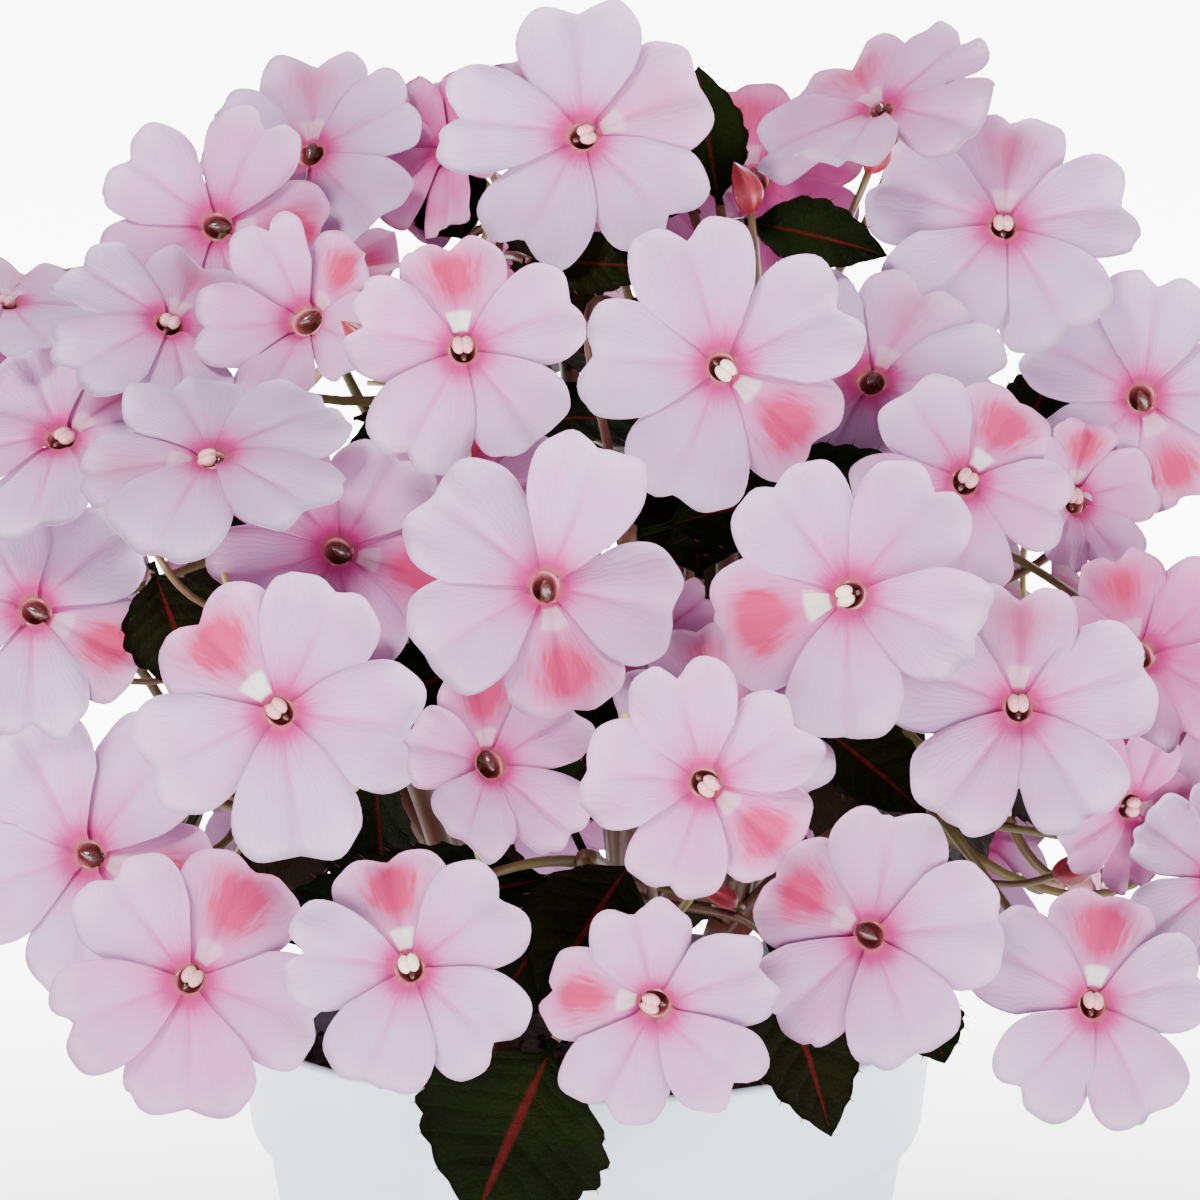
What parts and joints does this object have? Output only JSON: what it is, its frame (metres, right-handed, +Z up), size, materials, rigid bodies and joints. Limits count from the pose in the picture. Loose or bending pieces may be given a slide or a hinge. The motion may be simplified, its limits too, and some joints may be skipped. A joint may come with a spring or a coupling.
{
  "type": "potted new guinea impatiens",
  "caption": "Flowering New Guinea impatiens in a plain tapered nursery pot: pale pink notched petals with magenta eyes over dark toothed leaves, standing free on its base.",
  "frame": {"origin": "middle of the pot's base, on the surface it stands on", "axes": "+Z up; the side that the picture shows faces -Y, with +X to the viewer's right"},
  "size_m": [0.3449, 0.2854, 0.3993],
  "materials": {
    "pot_plastic": "satin",
    "peat": "crumbly, dry",
    "leaf_and_stem": "dark green with a bronze tint, satin, quilted between the veins",
    "petal": "pale pink with a magenta eye, velvety, lets light through"
  },
  "bodies": {
    "root": {"pot": "pot_plastic", "soil": "peat", "leafy_stem_1": "leaf_and_stem", "leafy_stem_2": "leaf_and_stem", "leafy_stem_3": "leaf_and_stem", "leafy_stem_4": "leaf_and_stem", "leafy_stem_5": "leaf_and_stem", "bloom_01": "petal", "bloom_02": "petal", "bloom_03": "petal", "bloom_04": "petal", "bloom_05": "petal", "bloom_06": "petal", "bloom_07": "petal", "bloom_08": "petal", "bloom_09": "petal", "bloom_10": "petal", "bloom_11": "petal", "bloom_12": "petal", "bloom_13": "petal", "bloom_14": "petal", "bloom_15": "petal", "bloom_16": "petal", "bloom_17": "petal", "bloom_18": "petal", "bloom_19": "petal", "bloom_20": "petal", "bloom_21": "petal", "bloom_22": "petal", "bloom_23": "petal", "bloom_24": "petal", "bloom_25": "petal", "bloom_26": "petal", "bloom_27": "petal", "bloom_28": "petal", "bloom_29": "petal", "bloom_30": "petal", "bloom_31": "petal", "bloom_32": "petal", "bloom_33": "petal", "bloom_34": "petal", "bloom_35": "petal", "bloom_36": "petal", "bloom_37": "petal", "bloom_38": "petal", "bloom_39": "petal", "bloom_40": "petal", "bloom_41": "petal", "bloom_42": "petal", "bloom_43": "petal", "spray_01": "petal", "spray_02": "petal", "spray_03": "petal", "spray_04": "petal", "spray_05": "petal", "spray_06": "petal", "spray_07": "petal", "spray_08": "petal", "spray_09": "petal", "spray_10": "petal"}
  },
  "joints": []
}
